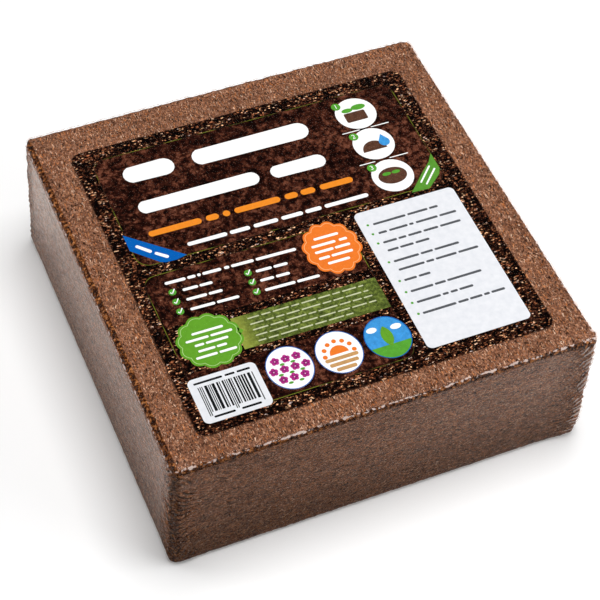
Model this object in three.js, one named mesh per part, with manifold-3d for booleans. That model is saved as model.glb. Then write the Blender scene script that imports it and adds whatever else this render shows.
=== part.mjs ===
// A pressed block of coir, wrapped in shrink film, with a printed sheet between block and film.
// Millimetres, +Z up. The pack lies on its large face and the origin is the middle of that face.
// +X runs to the right along the front edge, +Y runs to the back.

import * as THREE from "three";
import { mergeVertices } from "three/addons/utils/BufferGeometryUtils.js";
import Module from "manifold-3d";

// Pressed block. The sides lean in towards the top, as they leave the press.
const blockLength = 300;
const blockWidth = 301.5;
const blockHeight = 106.6;
const blockDraft = 2.2;
const cornerRadius = 5.5;
const topEdgeRadius = 3;
const baseEdgeRadius = 3;

// The pressed edges crumble a little: soft hollows along every edge.
const crumbleDepth = 0.8;
const crumblePitch = 23;

// Printed sheet on the block, a little off centre.
const sheetLength = 251;
const sheetWidth = 252;
const sheetThickness = 0.25;
const sheetCornerRadius = 7.5;
const sheetOffsetX = 1.8;
const sheetOffsetY = -3.5;

// White stickers, each placed from the sheet's own front corner.
const stickerThickness = 0.2;
const stickerCornerRadius = 4;
const infoStickerLength = 75.5;
const infoStickerWidth = 122.5;
const infoStickerEdgeGap = 12;
const infoStickerFrontGap = 11.5;
const codeStickerLength = 46.5;
const codeStickerWidth = 35.5;
const codeStickerEdgeGap = 7.5;
const codeStickerFrontGap = 7.5;

// Shrink film. It is drawn thicker than the real 0.05 mm.
const filmThickness = 0.3;
const filmClearance = 0.3;

// Gathers: ridges that the shrunk film leaves round the four upright corners.
const gatherHeight = 0.7;
const gatherPitch = 9;
const gatherReach = 26;
const gatherSlant = 0.9;
const gatherFade = 12;

// Trim weld: a fine bead at half height on every side but the back, where the film is folded.
const weldHeight = 0.5;
const weldWidth = 1.4;
const weldLevel = 55.5;

// Vents let the air out while the film shrinks. They are in the base, out of sight.
const ventDiameter = 5;
const ventSpacing = 150;

// Smoothness of the curves.
const cornerSteps = 4;
const edgeSteps = 3;
const blockSideStops = 11;
const samplesPerGather = 4;
const ventSides = 12;

// Colours of the pieces.
const coirColour = 0x7d5440;
const sheetColour = 0x34201a;
const stickerColour = 0xedeef2;
const filmColour = 0xf4efe9;

// Heights of the stack, from the surface that the pack lies on.
const blockBase = filmThickness;
const blockTop = blockBase + blockHeight;
const sheetTop = blockTop + sheetThickness;
const filmInnerTop = sheetTop + stickerThickness;
const packHeight = filmInnerTop + filmThickness;

const wasm = await Module();
wasm.setup();

function smoothStep(t) {
  const clamped = Math.min(Math.max(t, 0), 1);
  return clamped * clamped * (3 - 2 * clamped);
}

// A station is one column of a wrapped form: the four rounded corners, counter-clockwise from the
// back right one, each followed by its straight side. "along" runs from a corner to the next.
function makeStations(stopsAfterCorner) {
  const stations = [];
  for (let corner = 0; corner < 4; corner++) {
    for (let step = 0; step <= cornerSteps; step++) {
      stations.push({ corner, turn: ((corner + step / cornerSteps) * Math.PI) / 2, along: 0 });
    }
    for (const along of stopsAfterCorner(corner)) {
      stations.push({ corner, turn: ((corner + 1) * Math.PI) / 2, along });
    }
  }
  return stations;
}

function straightLength(corner) {
  const side = corner % 2 === 0 ? blockLength : blockWidth;
  return side - 2 * cornerRadius;
}

function cornerCentre(corner, halfX, halfY, radius) {
  const signX = corner === 0 || corner === 3 ? 1 : -1;
  const signY = corner < 2 ? 1 : -1;
  return new THREE.Vector2(signX * (halfX - radius), signY * (halfY - radius));
}

// One level of a wrapped form. "push" moves a station outwards.
function makeRing(stations, level, sideOffset, push) {
  const lean = blockDraft * leanShare(level.z);
  const halfX = blockLength / 2 + sideOffset - lean - level.inset;
  const halfY = blockWidth / 2 + sideOffset - lean - level.inset;
  const radius = Math.max(cornerRadius + sideOffset - level.inset, 0.5);
  return stations.map((station) => {
    const from = cornerCentre(station.corner, halfX, halfY, radius);
    const to = cornerCentre((station.corner + 1) % 4, halfX, halfY, radius);
    const reach = radius + push(station, level);
    const x = from.x + (to.x - from.x) * station.along + reach * Math.cos(station.turn);
    const y = from.y + (to.y - from.y) * station.along + reach * Math.sin(station.turn);
    return new THREE.Vector3(x, y, level.z);
  });
}

// Share of the whole draft that is reached at a height.
function leanShare(z) {
  return Math.min(Math.max((z - blockBase) / blockHeight, 0), 1);
}

// Levels of a wrapped form: base edge, wall, top edge. "edge" is 1 in the middle of an edge.
function makeLevels(bottom, top, extraRadius, wallLevels) {
  const baseRadius = Math.min(baseEdgeRadius, cornerRadius) + extraRadius;
  const topRadius = Math.min(topEdgeRadius, cornerRadius) + extraRadius;
  const levels = [];
  for (let step = 0; step < edgeSteps; step++) {
    const angle = ((step / edgeSteps) * Math.PI) / 2;
    const inset = baseRadius * (1 - Math.sin(angle));
    levels.push({ z: bottom + baseRadius * (1 - Math.cos(angle)), inset, edge: Math.sin(2 * angle) });
  }
  for (const z of wallLevels(bottom + baseRadius, top - topRadius)) {
    levels.push({ z, inset: 0, edge: 0 });
  }
  for (let step = 1; step <= edgeSteps; step++) {
    const angle = ((step / edgeSteps) * Math.PI) / 2;
    const inset = topRadius * (1 - Math.cos(angle));
    levels.push({ z: top - topRadius * (1 - Math.sin(angle)), inset, edge: Math.sin(2 * angle) });
  }
  return levels;
}

// Joins rings into one closed surface, with a flat fan over the first and the last.
function loft(rings) {
  const count = rings[0].length;
  const positions = [];
  const indices = [];
  for (const ring of rings) {
    for (const point of ring) positions.push(point.x, point.y, point.z);
  }
  for (let level = 0; level < rings.length - 1; level++) {
    for (let i = 0; i < count; i++) {
      const a = level * count + i;
      const b = level * count + ((i + 1) % count);
      indices.push(a, b, b + count, a, b + count, a + count);
    }
  }
  const bottomCentre = positions.length / 3;
  positions.push(0, 0, rings[0][0].z);
  const topCentre = bottomCentre + 1;
  const lastStart = (rings.length - 1) * count;
  positions.push(0, 0, rings[rings.length - 1][0].z);
  for (let i = 0; i < count; i++) {
    const next = (i + 1) % count;
    indices.push(bottomCentre, next, i);
    indices.push(topCentre, lastStart + i, lastStart + next);
  }
  const geometry = new THREE.BufferGeometry();
  geometry.setAttribute("position", new THREE.Float32BufferAttribute(positions, 3));
  geometry.setIndex(indices);
  return geometry;
}

function toSolid(geometry) {
  const bare = geometry.clone();
  bare.deleteAttribute("normal");
  bare.deleteAttribute("uv");
  const merged = mergeVertices(bare);
  return new wasm.Manifold(
    new wasm.Mesh({
      numProp: 3,
      vertProperties: new Float32Array(merged.attributes.position.array),
      triVerts: new Uint32Array(merged.index.array),
    })
  );
}

function toGeometry(solid) {
  const { numProp, vertProperties, triVerts } = solid.getMesh();
  const positions = new Float32Array((vertProperties.length / numProp) * 3);
  for (let i = 0; i < positions.length / 3; i++) {
    for (let axis = 0; axis < 3; axis++) positions[3 * i + axis] = vertProperties[numProp * i + axis];
  }
  const geometry = new THREE.BufferGeometry();
  geometry.setAttribute("position", new THREE.BufferAttribute(positions, 3));
  geometry.setIndex(new THREE.BufferAttribute(new Uint32Array(triVerts), 1));
  return geometry;
}

// Hollows along an edge, from two waves that never fall in step round the block.
function crumble(station) {
  const travelled = station.along * straightLength(station.corner);
  const phase = (2 * Math.PI * travelled) / crumblePitch + 2.1 * station.corner;
  const wave = Math.sin(phase) * Math.sin(phase / 1.618 + 0.7);
  return crumbleDepth * (0.5 + 0.5 * wave);
}

function makeBlock() {
  const stops = Array.from({ length: blockSideStops }, (_, i) => (i + 1) / (blockSideStops + 1));
  const stations = makeStations(() => stops);
  const levels = makeLevels(blockBase, blockTop, 0, (low, high) => [low, high]);
  const push = (station, level) => -crumble(station) * level.edge;
  return loft(levels.map((level) => makeRing(stations, level, 0, push)));
}

// How strongly the film is gathered at a station: full round a corner, nothing past gatherReach.
function gatherStrength(station) {
  const length = straightLength(station.corner);
  const fromCorner = Math.min(station.along, 1 - station.along) * length;
  return station.along === 0 ? 1 : 1 - smoothStep(fromCorner / gatherReach);
}

// Ridges climb as they leave one corner and fall as they leave the next.
function gatherRidge(station, z) {
  const length = straightLength(station.corner);
  const nearNext = station.along > 0.5;
  const away = (nearNext ? 1 - station.along : station.along) * length;
  const corner = nearNext ? (station.corner + 1) % 4 : station.corner;
  const climb = corner % 2 === 0 ? gatherSlant : -gatherSlant;
  const height = z - climb * away;
  const ridge = 0.5 + 0.5 * Math.sin((2 * Math.PI * height) / gatherPitch + 1.7 * corner);
  const fromEdge = Math.min(z - baseEdgeRadius, packHeight - topEdgeRadius - z);
  return gatherHeight * ridge * gatherStrength(station) * smoothStep(fromEdge / gatherFade);
}

// The weld bead fades out round the two back corners.
function weldBead(station, z) {
  if (Math.abs(z - weldLevel) > weldWidth / 4) return 0;
  const onBack = station.corner === 0 && station.along > 0;
  return onBack ? 0 : weldHeight * Math.min(1, 1 - Math.max(Math.sin(station.turn), 0));
}

function filmWallLevels(low, high) {
  const count = Math.ceil(((high - low) * samplesPerGather) / gatherPitch);
  const even = Array.from({ length: count + 1 }, (_, i) => low + ((high - low) * i) / count);
  const clearOfWeld = even.filter((z) => Math.abs(z - weldLevel) > weldWidth);
  const weld = [weldLevel - weldWidth / 2, weldLevel, weldLevel + weldWidth / 2];
  return [...clearOfWeld, ...weld].sort((a, b) => a - b);
}

function filmStops(corner) {
  const share = gatherReach / straightLength(corner);
  return [share / 3, share, 1 - share, 1 - share / 3];
}

function makeFilm() {
  const stations = makeStations(filmStops);
  const skin = (offset, bottom, top, bead) => {
    const levels = makeLevels(bottom, top, offset, filmWallLevels);
    const push = (station, level) => {
      const onWall = level.inset === 0;
      return onWall ? gatherRidge(station, level.z) + bead * weldBead(station, level.z) : 0;
    };
    return loft(levels.map((level) => makeRing(stations, level, offset, push)));
  };
  const outside = skin(filmClearance + filmThickness, 0, packHeight, 1);
  const inside = skin(filmClearance, filmThickness, filmInnerTop, 0);
  let shell = toSolid(outside).subtract(toSolid(inside));
  for (const signX of [-1, 1]) {
    for (const signY of [-1, 1]) {
      const vent = new THREE.CylinderGeometry(ventDiameter / 2, ventDiameter / 2, 2 * filmThickness, ventSides);
      vent.rotateX(Math.PI / 2);
      vent.translate((signX * ventSpacing) / 2, (signY * ventSpacing) / 2, filmThickness / 2);
      shell = shell.subtract(toSolid(vent));
    }
  }
  return toGeometry(shell);
}

// A flat card with round corners, centred on the origin and standing on z = 0.
function makeCard(length, width, thickness, radius) {
  const card = new THREE.Shape();
  const x = length / 2 - radius;
  const y = width / 2 - radius;
  card.absarc(x, y, radius, 0, Math.PI / 2);
  card.absarc(-x, y, radius, Math.PI / 2, Math.PI);
  card.absarc(-x, -y, radius, Math.PI, 1.5 * Math.PI);
  card.absarc(x, -y, radius, 1.5 * Math.PI, 2 * Math.PI);
  return new THREE.ExtrudeGeometry(card, { depth: thickness, bevelEnabled: false, curveSegments: 6 });
}

function makePiece(name, geometry, colour, roughness, opacity = 1) {
  const material = new THREE.MeshStandardMaterial({ color: colour, roughness, metalness: 0 });
  material.opacity = opacity;
  material.transparent = opacity < 1;
  const piece = new THREE.Mesh(geometry, material);
  piece.name = name;
  return piece;
}

const group = new THREE.Group();

const block = makePiece("coir_block", makeBlock(), coirColour, 0.95);
group.add(block);

const sheetCard = makeCard(sheetLength, sheetWidth, sheetThickness, sheetCornerRadius);
const sheet = makePiece("printed_sheet", sheetCard, sheetColour, 0.6);
sheet.position.set(sheetOffsetX, sheetOffsetY, blockTop);
group.add(sheet);

const infoCard = makeCard(infoStickerLength, infoStickerWidth, stickerThickness, stickerCornerRadius);
const infoSticker = makePiece("info_sticker", infoCard, stickerColour, 0.5);
infoSticker.position.set(
  sheetOffsetX + sheetLength / 2 - infoStickerEdgeGap - infoStickerLength / 2,
  sheetOffsetY - sheetWidth / 2 + infoStickerFrontGap + infoStickerWidth / 2,
  sheetTop
);
group.add(infoSticker);

const codeCard = makeCard(codeStickerLength, codeStickerWidth, stickerThickness, stickerCornerRadius);
const codeSticker = makePiece("barcode_sticker", codeCard, stickerColour, 0.5);
codeSticker.position.set(
  sheetOffsetX - sheetLength / 2 + codeStickerEdgeGap + codeStickerLength / 2,
  sheetOffsetY - sheetWidth / 2 + codeStickerFrontGap + codeStickerWidth / 2,
  sheetTop
);
group.add(codeSticker);

const film = makePiece("shrink_film", makeFilm(), filmColour, 0.15, 0.25);
group.add(film);

export default group;
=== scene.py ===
# A pressed block of coir in clear shrink film, with a printed sheet and two white stickers under
# the film. Metres, +Z up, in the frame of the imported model.
import math
import random

import bpy
import numpy as np
from mathutils import Matrix, Quaternion, Vector, noise


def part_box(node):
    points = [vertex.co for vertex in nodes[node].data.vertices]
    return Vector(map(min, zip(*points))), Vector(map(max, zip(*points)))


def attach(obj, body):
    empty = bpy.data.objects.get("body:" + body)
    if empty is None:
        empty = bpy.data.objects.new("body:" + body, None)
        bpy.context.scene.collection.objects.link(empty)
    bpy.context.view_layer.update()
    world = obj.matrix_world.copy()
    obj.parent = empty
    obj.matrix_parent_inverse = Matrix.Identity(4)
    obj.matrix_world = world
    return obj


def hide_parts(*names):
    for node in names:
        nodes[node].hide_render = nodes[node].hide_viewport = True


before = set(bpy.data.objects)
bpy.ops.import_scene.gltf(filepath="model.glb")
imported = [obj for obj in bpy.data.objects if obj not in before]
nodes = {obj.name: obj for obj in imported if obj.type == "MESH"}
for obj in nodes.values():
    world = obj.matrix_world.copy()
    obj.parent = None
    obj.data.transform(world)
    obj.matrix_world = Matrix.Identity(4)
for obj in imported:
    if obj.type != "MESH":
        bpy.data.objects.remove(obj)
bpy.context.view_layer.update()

# One millimetre, and the heights that everything is stacked on.
MM = 0.001
block_low, block_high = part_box("coir_block")
film_low, film_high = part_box("shrink_film")
sheet_low, sheet_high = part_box("printed_sheet")
info_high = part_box("info_sticker")[1]
code_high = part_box("barcode_sticker")[1]

# Form of the pressed block, and of the film just outside it.
side_lean = 2.2 * MM
block_half = Vector((150, 150.75, 0)) * MM
film_gap = 0.6 * MM
corner_round = 5.5 * MM
top_round = 3 * MM
base_round = 3 * MM
gather_reach = 27 * MM

# The meshes' cells, just coarse enough for a piece to stay under 200,000 triangles.
coir_cell = 2.62 * MM
film_cell = 2.6 * MM

# In millimetres: how far a gather stands out, and how round the sheet's corners are.
gather_height = 1.7
sheet_corner = 7.5


# Colours and materials

def as_light(level):
    """One channel of a printed colour, from 0 to 255, as the light it sends back."""
    share = level / 255
    return share / 12.92 if share <= 0.04045 else ((share + 0.055) / 1.055) ** 2.4


def tint(red, green, blue):
    return (as_light(red), as_light(green), as_light(blue), 1.0)


class Finish:
    """A material put together from nodes. Its places and pitches are in millimetres."""

    def __init__(self, name):
        self.material = bpy.data.materials.new(name)
        self.material.use_nodes = True
        self.tree = self.material.node_tree
        self.tree.nodes.clear()

    def node(self, kind, sockets=None, **settings):
        made = self.tree.nodes.new(kind)
        for key, value in settings.items():
            setattr(made, key, value)
        for key, value in (sockets or {}).items():
            if isinstance(value, bpy.types.NodeSocket):
                self.tree.links.new(value, made.inputs[key])
            else:
                made.inputs[key].default_value = value
        return made

    def place(self):
        """Where a point lies on the pack, in millimetres."""
        return self.scaled(self.node("ShaderNodeTexCoord").outputs["Object"], 1 / MM)

    def attribute(self, name):
        """A number that the piece keeps at each of its points."""
        return self.node("ShaderNodeAttribute", attribute_name=name).outputs["Fac"]

    def axes(self, vector):
        return self.node("ShaderNodeSeparateXYZ", {0: vector}).outputs

    def vector(self, operation, first, second=(0, 0, 0), output=0):
        made = self.node("ShaderNodeVectorMath", {0: first, 1: second}, operation=operation)
        return made.outputs[output]

    def scaled(self, vector, share):
        made = self.node("ShaderNodeVectorMath", {0: vector, "Scale": share}, operation="SCALE")
        return made.outputs[0]

    def math(self, operation, first, second=0.0, clamp=False):
        made = self.node("ShaderNodeMath", {0: first, 1: second}, operation=operation, use_clamp=clamp)
        return made.outputs[0]

    def total(self, first, second):
        return self.math("ADD", first, second)

    def product(self, first, second, clamp=False):
        return self.math("MULTIPLY", first, second, clamp)

    def centred(self, value, span):
        """Turns a share from 0 to 1 into an offset, of up to half the span either way."""
        return self.product(self.math("SUBTRACT", value, 0.5), span)

    def sized(self, where, stretch, turn=(0, 0, 0)):
        """Turns a pattern, then stretches it by a size along each axis."""
        turn = tuple(math.radians(angle) for angle in turn)
        sockets = {"Vector": where, "Rotation": turn, "Scale": tuple(1 / size for size in stretch)}
        return self.node("ShaderNodeMapping", sockets).outputs[0]

    def cloud(self, where, pitch, detail=2.0, rough=0.5, colour=False):
        sockets = {"Vector": where, "Scale": 1 / pitch, "Detail": detail, "Roughness": rough}
        return self.node("ShaderNodeTexNoise", sockets).outputs["Color" if colour else "Fac"]

    def cells(self, where, pitch, feature="F1"):
        sockets = {"Vector": where, "Scale": 1 / pitch}
        return self.node("ShaderNodeTexVoronoi", sockets, feature=feature).outputs["Distance"]

    def warp(self, where, pitch, reach):
        """Pushes a pattern about by up to reach, so that its lines curl."""
        push = self.vector("SUBTRACT", self.cloud(where, pitch, colour=True), (0.5, 0.5, 0.5))
        return self.vector("ADD", where, self.scaled(push, 2 * reach))

    def strands(self, where, curl_pitch, curl_reach, size, turn, detail=2.0, rough=0.5):
        """Noise drawn out along fibres, layers or folds, which are turned and a little curled."""
        laid = self.sized(self.warp(where, curl_pitch, curl_reach), size, turn)
        return self.cloud(laid, 1.0, detail, rough)

    def step(self, value, low, high, bottom=0.0, top=1.0):
        """Rises smoothly from bottom to top as value goes from low to high."""
        sockets = {"Value": value, "From Min": low, "From Max": high, "To Min": bottom, "To Max": top}
        return self.node("ShaderNodeMapRange", sockets, interpolation_type="SMOOTHSTEP").outputs[0]

    def ramp(self, value, stops):
        made = self.node("ShaderNodeValToRGB", {"Fac": value})
        elements = made.color_ramp.elements
        while len(elements) < len(stops):
            elements.new(0.5)
        for element, (place, colour) in zip(elements, stops):
            element.position = place
            element.color = colour
        return made.outputs["Color"]

    def mix(self, share, under, over, blend="MIX"):
        made = self.node("ShaderNodeMix", {0: share, 6: under, 7: over}, data_type="RGBA", blend_type=blend)
        return made.outputs[2]

    def bump(self, height, depth):
        """A bump of so many millimetres."""
        sockets = {"Height": height, "Distance": depth * MM, "Strength": 1.0}
        return self.node("ShaderNodeBump", sockets).outputs[0]

    def shell(self, sockets):
        """The plain surface shader, and the finished material."""
        shader = self.node("ShaderNodeBsdfPrincipled", sockets)
        self.node("ShaderNodeOutputMaterial", {"Surface": shader.outputs[0]})
        return self.material


def sheet_edge(paint, where):
    """How far inside the sheet's round-cornered outline a point lies, in millimetres."""
    any_height = 1000
    centre = (sheet_low + sheet_high) / 2 / MM
    half = (sheet_high - sheet_low) / 2 / MM
    inner = (half.x - sheet_corner, half.y - sheet_corner, any_height)
    folded = paint.vector("ABSOLUTE", paint.vector("SUBTRACT", where, (centre.x, centre.y, 0)))
    past = paint.vector("MAXIMUM", paint.vector("SUBTRACT", folded, inner))
    return paint.math("SUBTRACT", sheet_corner, paint.vector("LENGTH", past, output="Value"))


def crumb_chips(paint, where, pitch, rarity, size, crowd=0.0):
    """Scattered chips: where they lie, and a random tone for each. Crowd makes them rarer or denser."""
    soft_edge = 0.14
    sockets = {"Vector": paint.warp(where, 0.9, 0.55), "Scale": 1 / pitch}
    found = paint.node("ShaderNodeTexVoronoi", sockets)
    chance = paint.node("ShaderNodeSeparateColor", {0: found.outputs["Color"]})
    body = paint.step(found.outputs["Distance"], size, size - soft_edge)
    here = paint.math("GREATER_THAN", paint.total(chance.outputs[0], crowd), rarity)
    return paint.product(body, here), chance.outputs[1]


def coir_ground(paint, where):
    """Colour and height of pressed coir: pith, short fibres, orange and tan flecks, dark specks."""
    curled = paint.sized(paint.warp(where, 2.4, 0.7), (1.0, 1.0, 0.7))
    pith = paint.cloud(curled, 1.5, detail=4.0, rough=0.78)
    mottle = paint.cloud(where, 6.5, detail=3.0, rough=0.6)
    colour = paint.ramp(paint.total(pith, paint.centred(mottle, 0.26)), [
        (0.34, tint(66, 40, 29)),
        (0.45, tint(116, 76, 56)),
        (0.55, tint(144, 97, 74)),
        (0.68, tint(208, 158, 126)),
    ])
    height = pith
    for size, turn, shade, rarity in (
        ((0.80, 4.4, 0.80), (10, 0, 35), tint(222, 148, 98), 0.63),
        ((0.75, 3.6, 0.75), (0, 15, -50), tint(188, 110, 58), 0.63),
        ((0.75, 4.4, 0.75), (-20, 5, 88), tint(252, 214, 184), 0.65),
        ((0.85, 3.6, 0.85), (15, 0, 8), tint(30, 17, 12), 0.61),
    ):
        fibres = paint.strands(where, 5, 2.0, size, turn, detail=1.0)
        thread = paint.step(fibres, rarity, rarity + 0.05, 0.0, 0.9)
        colour = paint.mix(thread, colour, shade)
        height = paint.total(height, paint.product(thread, 0.3))
    speck = paint.step(paint.cells(paint.warp(where, 2, 1.0), 3.0), 0.21, 0.14, 0.0, 0.90)
    colour = paint.mix(speck, colour, tint(40, 25, 20))
    height = paint.math("SUBTRACT", height, paint.product(speck, 0.7))
    patchy = paint.step(paint.cloud(where, 34, detail=3.0), 0.35, 0.65, 0.86, 1.02)
    return paint.scaled(colour, patchy), height


def side_layers(paint, where, colour, height, on_side):
    """The layers that the press laid, which the sides show: flakes, orange threads, flecks and dark
    cracks, all climbing a little to the right."""
    flakes = paint.strands(where, 7, 2.0, (3.2, 3.2, 1.3), (19, -19, 0), detail=4.0, rough=0.82)
    flaky = paint.mix(on_side, (1, 1, 1, 1), paint.ramp(flakes, [
        (0.34, (0.70, 0.68, 0.66, 1)),
        (0.46, (0.96, 0.95, 0.94, 1)),
        (0.56, (1.04, 1.02, 1.01, 1)),
        (0.70, (1.36, 1.28, 1.20, 1)),
    ]))
    colour = paint.mix(1.0, colour, flaky, blend="MULTIPLY")
    for size, turn, shade, rarity in (
        ((5.0, 5.0, 0.8), (32, -32, 0), tint(196, 122, 76), 0.645),
        ((4.2, 4.2, 0.8), (8, -8, 0), tint(216, 146, 102), 0.665),
        ((6.0, 6.0, 0.9), (24, -24, 0), tint(34, 21, 16), 0.625),
    ):
        fibres = paint.strands(where, 6, 2.0, size, turn, detail=1.0)
        thread = paint.step(fibres, rarity, rarity + 0.04, 0.0, 0.9)
        colour = paint.mix(paint.product(thread, on_side), colour, shade)
    for shift, size, rarity in ((3.0, (1.8, 1.8, 0.85), 0.77), (11.0, (2.6, 2.6, 0.9), 0.83)):
        moved = paint.vector("ADD", where, (shift, shift, shift))
        fleck, tone = crumb_chips(paint, paint.sized(moved, size, (24, -24, 0)), 1.0, rarity, 0.42)
        shade = paint.ramp(tone, [
            (0.2, tint(176, 104, 62)),
            (0.7, tint(222, 152, 106)),
            (1.0, tint(244, 204, 170)),
        ])
        colour = paint.mix(paint.product(fleck, on_side), colour, shade)
    cracks = paint.strands(where, 12, 5.0, (12, 12, 2.0), (22, -22, 0), detail=3.0, rough=0.6)
    crack = paint.product(paint.step(cracks, 0.64, 0.69, 0.0, 0.85), on_side)
    colour = paint.mix(crack, colour, tint(34, 21, 17))
    height = paint.math("SUBTRACT", height, paint.product(crack, 1.5))
    return colour, paint.total(height, paint.centred(flakes, paint.product(on_side, 2.2)))


def painted_side_shade(paint, where, upward, on_side):
    """Painted shade: the sides are darker towards the base, and the front towards its left end."""
    spot = paint.axes(where)
    uneven = paint.centred(paint.cloud(where, 60), 30)
    base_shade = paint.step(paint.total(spot["Z"], uneven), 0, 84, 0.56, 1.06)
    base_shade = paint.total(1.0, paint.product(paint.math("SUBTRACT", base_shade, 1.0), on_side))
    on_front = paint.step(upward["Y"], -0.5, -0.8)
    left_end_shade = paint.product(paint.step(spot["X"], 40, -150, 0.0, 0.12), on_front)
    return paint.product(base_shade, paint.math("SUBTRACT", 1.0, left_end_shade))


def wet_edges(paint, where, colour):
    """Painted shade darkens the creases between the gathers, and along the edges the coir is wet, from near
    black to amber.
    """
    shadow = tint(26, 15, 10)
    lumps = paint.cloud(paint.warp(where, 4, 1.5), 2.0, detail=3.0, rough=0.6)
    # Painted shade in the creases between the gathers.
    shaded_crease = paint.product(paint.attribute("crease_shade"), paint.total(lumps, 0.55))
    colour = paint.mix(paint.step(shaded_crease, 0.38, 0.80, 0.0, 0.80), colour, shadow)
    soaked = paint.product(paint.attribute("wet"), paint.total(lumps, 0.6))
    wet = paint.ramp(paint.cloud(paint.warp(where, 3, 1.0), 2.2, detail=4.0, rough=0.68), [
        (0.40, tint(12, 5, 2)),
        (0.48, tint(58, 26, 9)),
        (0.55, tint(122, 66, 27)),
        (0.65, tint(204, 136, 80)),
    ])
    colour = paint.mix(paint.step(soaked, 0.30, 0.56, 0.0, 0.95), colour, wet)
    return paint.mix(paint.step(shaded_crease, 0.50, 0.95, 0.0, 0.60), colour, shadow)


def make_coir():
    """Pressed coir, wet and amber where the film is drawn over its edges."""
    paint = Finish("pressed coir")
    where = paint.place()
    upward = paint.axes(paint.node("ShaderNodeNewGeometry").outputs["Normal"])
    on_side = paint.step(paint.math("ABSOLUTE", upward["Z"]), 0.5, 0.2)
    colour, height = coir_ground(paint, where)
    colour, height = side_layers(paint, where, colour, height, on_side)
    # Painted shade, darker low on the sides and at the front's left end.
    colour = paint.scaled(colour, painted_side_shade(paint, where, upward, on_side))
    colour = wet_edges(paint, where, colour)

    # The sheet's edge darkens the coir right beside it.
    frayed = paint.centred(paint.cloud(where, 1.3, detail=3.0), 5.0)
    beside = paint.step(paint.total(sheet_edge(paint, where), frayed), -0.6, 0.2, 0.0, 0.7)
    on_top = paint.step(upward["Z"], 0.7, 0.9)
    colour = paint.mix(paint.product(beside, on_top), colour, tint(30, 18, 13))
    return paint.shell({
        "Base Color": colour,
        "Roughness": 0.85,
        "Specular IOR Level": 0.06,
        "Normal": paint.bump(height, 0.5),
    })


def make_fibre_finish():
    """Loose coir fibres, from dark brown to pale tan, one tone to a fibre."""
    paint = Finish("coir fibre")
    where = paint.place()
    worn = paint.total(paint.attribute("tone"), paint.product(paint.cloud(where, 1.5), 0.25))
    colour = paint.ramp(worn, [
        (0.12, tint(52, 33, 26)),
        (0.42, tint(120, 78, 56)),
        (0.72, tint(178, 116, 78)),
        (1.00, tint(222, 172, 134)),
    ])
    return paint.shell({"Base Color": colour, "Roughness": 0.8, "Specular IOR Level": 0.06})


def make_crumb_print():
    """The sheet's border: a print of near black clods with long brown, tan and grey chips."""
    paint = Finish("crumb print")
    where = paint.place()
    grit = paint.cloud(where, 1.4, detail=3.0, rough=0.75)
    clods = paint.cloud(paint.warp(where, 3, 1.2), 2.8, detail=3.0, rough=0.6)
    drift = paint.cloud(where, 10, detail=2.0)
    crowd = paint.centred(drift, 0.8)
    ground = paint.total(paint.product(grit, 0.4), paint.product(clods, 0.6))
    ground = paint.total(ground, paint.product(crowd, 0.16))
    colour = paint.ramp(ground, [
        (0.43, tint(1, 0, 0)),
        (0.51, tint(9, 3, 2)),
        (0.58, tint(40, 18, 11)),
        (0.69, tint(100, 56, 38)),
    ])
    for size, turn, rarity in (
        ((1.7, 1.3, 1.0), 10, 0.68),
        ((3.2, 1.2, 1.0), 28, 0.74),
        ((2.8, 1.1, 1.0), -42, 0.74),
        ((2.3, 1.1, 1.0), 84, 0.74),
        ((3.6, 1.6, 1.0), 58, 0.90),
    ):
        shifted = paint.vector("ADD", where, (turn, 3, 11))
        body, tone = crumb_chips(paint, paint.sized(shifted, size, (0, 0, turn)), 1.0, rarity, 0.44, crowd)
        chip = paint.ramp(tone, [
            (0.00, tint(16, 8, 5)),
            (0.40, tint(76, 44, 31)),
            (0.74, tint(170, 102, 66)),
            (0.92, tint(252, 198, 150)),
            (1.00, tint(184, 166, 162)),
        ])
        colour = paint.mix(body, colour, paint.scaled(chip, paint.step(grit, 0.40, 0.60, 0.10, 1.65)))
    ragged = paint.total(sheet_edge(paint, where), paint.centred(grit, 5.0))
    rim = paint.step(ragged, 0.3, 0.0)
    return paint.shell({
        "Base Color": paint.mix(rim, colour, tint(60, 38, 28)),
        "Roughness": 0.7,
        "Specular IOR Level": 0.01,
        "Normal": paint.bump(grit, 0.06),
    })


def make_soil_print():
    """The panels' ground: a print of soft red-brown lumps, cracked and shaded down to near black."""
    paint = Finish("soil print")
    where = paint.place()
    lumps = paint.cloud(paint.warp(where, 5, 1.6), 4.6, detail=6.0, rough=0.76)
    broad = paint.cloud(where, 30, detail=1.0)
    level = paint.total(lumps, paint.centred(broad, 0.20))
    colour = paint.ramp(level, [
        (0.39, tint(10, 2, 1)),
        (0.46, tint(34, 12, 8)),
        (0.53, tint(62, 29, 19)),
        (0.63, tint(116, 68, 50)),
    ])
    split = paint.cells(paint.warp(where, 4, 2.2), 7.0, feature="DISTANCE_TO_EDGE")
    crack = paint.product(paint.step(split, 0.14, 0.0), paint.step(lumps, 0.62, 0.46, 0.15, 0.75))
    colour = paint.mix(crack, colour, tint(10, 3, 2))
    for pitch, rarity, size in ((2.4, 0.955, 0.30), (1.3, 0.975, 0.36)):
        body, tone = crumb_chips(paint, where, pitch, rarity, size)
        chip = paint.ramp(tone, [
            (0.0, tint(84, 50, 36)),
            (0.7, tint(120, 78, 58)),
            (1.0, tint(158, 116, 90)),
        ])
        colour = paint.mix(body, colour, chip)
    return paint.shell({
        "Base Color": colour,
        "Roughness": 0.6,
        "Specular IOR Level": 0.01,
        "Normal": paint.bump(lumps, 0.02),
    })


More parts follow.
